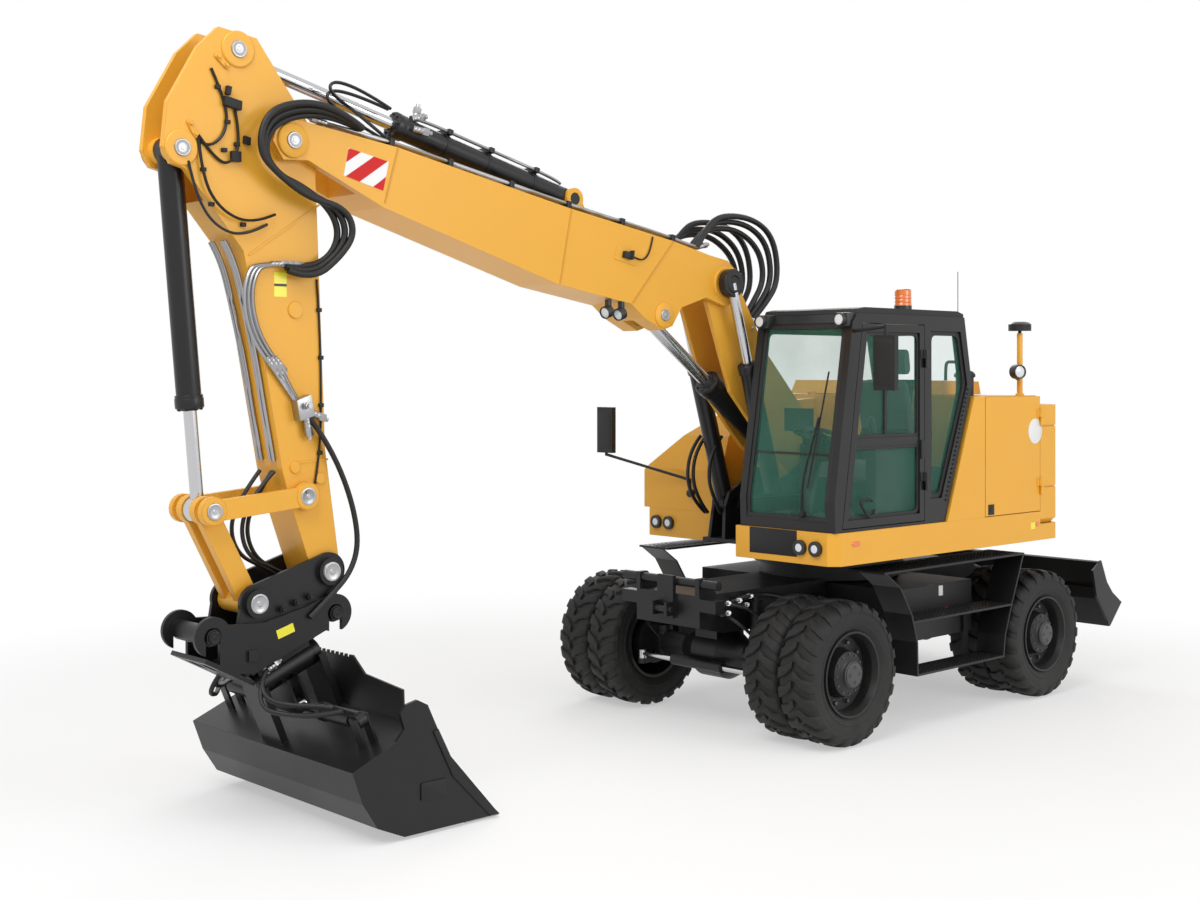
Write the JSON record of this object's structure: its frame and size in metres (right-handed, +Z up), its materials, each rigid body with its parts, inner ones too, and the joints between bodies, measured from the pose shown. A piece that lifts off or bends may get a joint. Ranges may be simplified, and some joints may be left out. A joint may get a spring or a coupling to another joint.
{
  "type": "wheeled excavator",
  "caption": "Wheeled excavator with a two-piece boom, a tilting grading bucket on a quick coupler, twin tyres, a side cab and a rear dozer blade.",
  "frame": {"origin": "middle of the machine's bounding box at floor level", "axes": "+X ahead, along the parked arm; +Y to the left, the cab's side; +Z up"},
  "size_m": [8.375, 3.18, 4.55],
  "materials": {
    "yellow_paint": "gloss",
    "black_paint": "satin",
    "bucket_steel": "satin",
    "chrome_rod": "polished",
    "cast_grey": "matt",
    "tyre_rubber": "matt",
    "window_glass": "clear",
    "seat_fabric": "woven",
    "black_plastic": "grained",
    "lamp_plastic": "gloss"
  },
  "bodies": {
    "undercarriage": {"chassis": "black_paint", "front_axle": "black_paint", "rear_axle": "black_paint", "steps": "black_paint", "side_boxes": "black_paint"},
    "upper": {"deck": "black_paint", "skirt": "yellow_paint", "counterweight": "yellow_paint", "body_panels": "yellow_paint", "engine": "cast_grey", "right_hood": "yellow_paint", "cab_frame": "black_paint", "cab_roof": "black_plastic", "cab_glass": "window_glass", "seat": "seat_fabric", "cab_controls": "black_plastic", "mirrors": "black_plastic", "lamps": "lamp_plastic", "deck_fittings": "black_plastic"},
    "knuckle_left": {"knuckle_left": "black_paint"},
    "knuckle_right": {"knuckle_right": "black_paint"},
    "steering_rod": {"steering_rod": "chrome_rod"},
    "front_left_wheel": {"tyres_front_left": "tyre_rubber", "wheel_front_left": "black_paint"},
    "front_right_wheel": {"tyres_front_right": "tyre_rubber", "wheel_front_right": "black_paint"},
    "rear_left_wheel": {"tyres_rear_left": "tyre_rubber", "wheel_rear_left": "black_paint"},
    "rear_right_wheel": {"tyres_rear_right": "tyre_rubber", "wheel_rear_right": "black_paint"},
    "blade": {"blade": "black_paint"},
    "blade_barrels": {"blade_cylinder_barrels": "black_paint"},
    "blade_rods": {"blade_cylinder_rods": "chrome_rod"},
    "cab_door": {"cab_door": "yellow_paint", "door_glass": "window_glass"},
    "service_door_left": {"service_door_left": "yellow_paint"},
    "service_door_right": {"service_door_right": "yellow_paint"},
    "engine_hood": {"engine_hood": "yellow_paint"},
    "lower_boom": {"lower_boom": "yellow_paint"},
    "lift_barrels": {"lift_cylinder_barrels": "black_paint"},
    "lift_rods": {"lift_cylinder_rods": "chrome_rod"},
    "upper_boom": {"upper_boom": "yellow_paint"},
    "adjust_barrel": {"adjust_cylinder_barrel": "black_paint"},
    "adjust_rod": {"adjust_cylinder_rod": "chrome_rod"},
    "stick": {"stick": "yellow_paint"},
    "stick_barrel": {"stick_cylinder_barrel": "black_paint"},
    "stick_rod": {"stick_cylinder_rod": "chrome_rod"},
    "bucket_barrel": {"bucket_cylinder_barrel": "black_paint"},
    "bucket_rod": {"bucket_cylinder_rod": "chrome_rod"},
    "rocker": {"rocker": "yellow_paint"},
    "power_link": {"power_link": "yellow_paint"},
    "coupler": {"coupler": "black_paint"},
    "bucket": {"bucket": "bucket_steel"},
    "tilt_barrel_left": {"tilt_barrel_left": "black_paint"},
    "tilt_barrel_right": {"tilt_barrel_right": "black_paint"},
    "tilt_rod_left": {"tilt_rod_left": "chrome_rod"},
    "tilt_rod_right": {"tilt_rod_right": "chrome_rod"}
  },
  "joints": [
    {"name": "steer_left", "type": "hinge", "parent": "undercarriage", "child": "knuckle_left", "pos_m": [-0.4425, 0.585, 0.51], "axis": [0, 0, 1], "range_deg": [-30, 30]},
    {"name": "steer_right", "type": "hinge", "parent": "undercarriage", "child": "knuckle_right", "pos_m": [-0.4425, -0.585, 0.51], "axis": [0, 0, 1], "range_deg": [-31, 31]},
    {"name": "steering_rod_slide", "type": "slide", "parent": "undercarriage", "child": "steering_rod", "axis": [0, 1, 0], "range_m": [-0.13, 0.13]},
    {"name": "front_left_roll", "type": "hinge", "parent": "knuckle_left", "child": "front_left_wheel", "pos_m": [-0.4425, 0.965, 0.51], "axis": [0, 1, 0], "continuous": true},
    {"name": "front_right_roll", "type": "hinge", "parent": "knuckle_right", "child": "front_right_wheel", "pos_m": [-0.4425, -0.965, 0.51], "axis": [0, 1, 0], "continuous": true},
    {"name": "rear_left_roll", "type": "hinge", "parent": "undercarriage", "child": "rear_left_wheel", "pos_m": [-2.9425, 0.965, 0.51], "axis": [0, 1, 0], "continuous": true},
    {"name": "rear_right_roll", "type": "hinge", "parent": "undercarriage", "child": "rear_right_wheel", "pos_m": [-2.9425, -0.965, 0.51], "axis": [0, 1, 0], "continuous": true},
    {"name": "blade_lift", "type": "hinge", "parent": "undercarriage", "child": "blade", "pos_m": [-3.2425, 0, 0.5], "axis": [0, -1, 0], "range_deg": [0, 38]},
    {"name": "blade_barrels_turn", "type": "hinge", "parent": "undercarriage", "child": "blade_barrels", "pos_m": [-3.3125, 0, 0.95], "axis": [0, -1, 0], "range_deg": [0, 27.59]},
    {"name": "blade_rods_slide", "type": "slide", "parent": "blade_barrels", "child": "blade_rods", "axis": [-0.9442, 0, -0.3294], "range_m": [0, 0.2845]},
    {"name": "swing", "type": "hinge", "parent": "undercarriage", "child": "upper", "pos_m": [-1.7425, 0, 1.24], "axis": [0, 0, 1], "continuous": true},
    {"name": "cab_door_hinge", "type": "hinge", "parent": "upper", "child": "cab_door", "pos_m": [-1.3195, 1.251, 2.2], "axis": [0, 0, 1], "range_deg": [0, 100]},
    {"name": "service_door_left_hinge", "type": "hinge", "parent": "upper", "child": "service_door_left", "pos_m": [-2.8745, 1.266, 1.96], "axis": [0, 0, 1], "range_deg": [0, 110]},
    {"name": "service_door_right_hinge", "type": "hinge", "parent": "upper", "child": "service_door_right", "pos_m": [-2.8745, -1.266, 1.96], "axis": [0, 0, -1], "range_deg": [0, 110]},
    {"name": "engine_hood_hinge", "type": "hinge", "parent": "upper", "child": "engine_hood", "pos_m": [-2.1575, 0, 2.446], "axis": [0, 1, 0], "range_deg": [0, 60]},
    {"name": "boom_lift", "type": "hinge", "parent": "upper", "child": "lower_boom", "pos_m": [-1.3225, 0, 1.86], "axis": [0, -1, 0], "range_deg": [-45, 25]},
    {"name": "lift_barrels_turn", "type": "hinge", "parent": "upper", "child": "lift_barrels", "pos_m": [-0.7925, 0, 1.6], "axis": [0, -1, 0], "range_deg": [-46.67, 25.93]},
    {"name": "lift_rods_slide", "type": "slide", "parent": "lift_barrels", "child": "lift_rods", "axis": [0.2921, 0, 0.9564], "range_m": [-0.4565, 0.2536]},
    {"name": "boom_fold", "type": "hinge", "parent": "lower_boom", "child": "upper_boom", "pos_m": [-0.2825, 0, 3.27], "axis": [0, 1, 0], "range_deg": [-4, 60]},
    {"name": "adjust_barrel_turn", "type": "hinge", "parent": "lower_boom", "child": "adjust_barrel", "pos_m": [-0.9625, 0, 2.06], "axis": [0, 1, 0], "range_deg": [-0.46, 6.9]},
    {"name": "adjust_rod_slide", "type": "slide", "parent": "adjust_barrel", "child": "adjust_rod", "axis": [0.8087, 0, 0.5882], "range_m": [-0.6945, 0.0463]},
    {"name": "stick_swing", "type": "hinge", "parent": "upper_boom", "child": "stick", "pos_m": [3.4075, 0, 3.95], "axis": [0, -1, 0], "range_deg": [-15, 85]},
    {"name": "stick_barrel_turn", "type": "hinge", "parent": "upper_boom", "child": "stick_barrel", "pos_m": [1.1075, 0, 3.8], "axis": [0, -1, 0], "range_deg": [-1.11, 6.28]},
    {"name": "stick_rod_slide", "type": "slide", "parent": "stick_barrel", "child": "stick_rod", "axis": [0.9714, 0, 0.2373], "range_m": [-0.7914, 0.1397]},
    {"name": "bucket_curl", "type": "hinge", "parent": "stick", "child": "coupler", "pos_m": [3.1415, 0, 1.442], "axis": [0, -1, 0], "range_deg": [-75, 55]},
    {"name": "rocker_turn", "type": "hinge", "parent": "stick", "child": "rocker", "pos_m": [3.2915, 0, 1.891], "axis": [0, -1, 0], "range_deg": [-64.76, 47.49]},
    {"name": "power_link_turn", "type": "hinge", "parent": "rocker", "child": "power_link", "pos_m": [3.9005, 0, 1.838], "axis": [0, -1, 0], "range_deg": [-36.62, 49.94]},
    {"name": "bucket_barrel_turn", "type": "hinge", "parent": "stick", "child": "bucket_barrel", "pos_m": [4.0775, 0, 3.85], "axis": [0, -1, 0], "range_deg": [-4.45, 3.26]},
    {"name": "bucket_rod_slide", "type": "slide", "parent": "bucket_barrel", "child": "bucket_rod", "axis": [-0.0876, 0, -0.9962], "range_m": [-0.4601, 0.6274]},
    {"name": "bucket_tilt", "type": "hinge", "parent": "coupler", "child": "bucket", "pos_m": [3.5375, 0, 0.792], "axis": [0.9239, 0, -0.3827], "range_deg": [-40, 40]},
    {"name": "tilt_barrel_left_turn", "type": "hinge", "parent": "bucket", "child": "tilt_barrel_left", "pos_m": [3.29928, 0.72, 0.67419], "axis": [0.9239, 0, -0.3827], "range_deg": [-5.48, 5.48]},
    {"name": "tilt_rod_left_slide", "type": "slide", "parent": "tilt_barrel_left", "child": "tilt_rod_left", "axis": [-0.0093, -0.9997, -0.0225], "range_m": [-0.1431, 0.1431]},
    {"name": "tilt_barrel_right_turn", "type": "hinge", "parent": "bucket", "child": "tilt_barrel_right", "pos_m": [3.29928, -0.72, 0.67419], "axis": [0.9239, 0, -0.3827], "range_deg": [-5.48, 5.48]},
    {"name": "tilt_rod_right_slide", "type": "slide", "parent": "tilt_barrel_right", "child": "tilt_rod_right", "axis": [-0.0093, 0.9997, -0.0225], "range_m": [-0.1431, 0.1431]}
  ],
  "couplings": [
    {"joint": "steer_right", "follows": "steer_left", "ratio": 1},
    {"joint": "steering_rod_slide", "follows": "steer_left", "m_per_rad": 0.235},
    {"joint": "blade_barrels_turn", "follows": "blade_lift", "ratio": 0.7117},
    {"joint": "blade_rods_slide", "follows": "blade_lift", "m_per_rad": 0.4205},
    {"joint": "lift_barrels_turn", "follows": "boom_lift", "ratio": 1.0167},
    {"joint": "lift_rods_slide", "follows": "boom_lift", "m_per_rad": 0.5698},
    {"joint": "adjust_barrel_turn", "follows": "boom_fold", "ratio": 0.1096},
    {"joint": "adjust_rod_slide", "follows": "boom_fold", "m_per_rad": -0.6502},
    {"joint": "stick_barrel_turn", "follows": "stick_swing", "ratio": 0.0704},
    {"joint": "stick_rod_slide", "follows": "stick_swing", "m_per_rad": -0.523},
    {"joint": "rocker_turn", "follows": "bucket_curl", "ratio": 0.8466},
    {"joint": "power_link_turn", "follows": "bucket_curl", "ratio": -0.6528},
    {"joint": "bucket_barrel_turn", "follows": "bucket_curl", "ratio": 0.0565},
    {"joint": "bucket_rod_slide", "follows": "bucket_curl", "m_per_rad": -0.4699},
    {"joint": "tilt_barrel_left_turn", "follows": "bucket_tilt", "ratio": 0.1305},
    {"joint": "tilt_rod_left_slide", "follows": "bucket_tilt", "m_per_rad": 0.2009},
    {"joint": "tilt_barrel_right_turn", "follows": "bucket_tilt", "ratio": 0.1305},
    {"joint": "tilt_rod_right_slide", "follows": "bucket_tilt", "m_per_rad": -0.2009}
  ]
}
